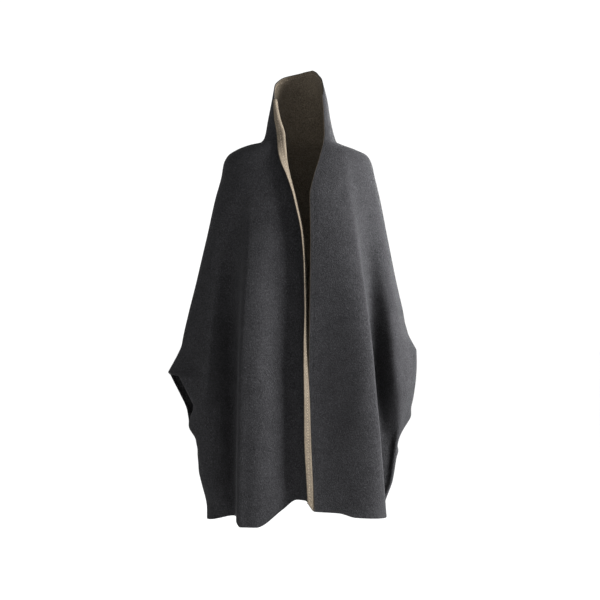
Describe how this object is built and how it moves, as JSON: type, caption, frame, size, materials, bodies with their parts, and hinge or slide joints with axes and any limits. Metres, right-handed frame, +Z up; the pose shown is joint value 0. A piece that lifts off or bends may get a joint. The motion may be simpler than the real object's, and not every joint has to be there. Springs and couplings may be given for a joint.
{
  "type": "wool cape coat",
  "caption": "Open-fronted cape coat in double-faced wool, charcoal outside and taupe inside, with a tall stand-up collar and arm slits low in the side seams.",
  "frame": {"origin": "at the neck, midway between the shoulders, where the neck seam's level meets the plane of the side seams", "axes": "+Z up along the coat, -Y out of its front, +X to the wearer's left"},
  "size_m": [0.6527, 0.3048, 1.19],
  "materials": {
    "charcoal_wool": "napped double-faced wool, charcoal outside, taupe inside"
  },
  "bodies": {
    "root": {"right_front": "charcoal_wool", "left_front": "charcoal_wool", "back": "charcoal_wool", "collar": "charcoal_wool"}
  },
  "joints": []
}
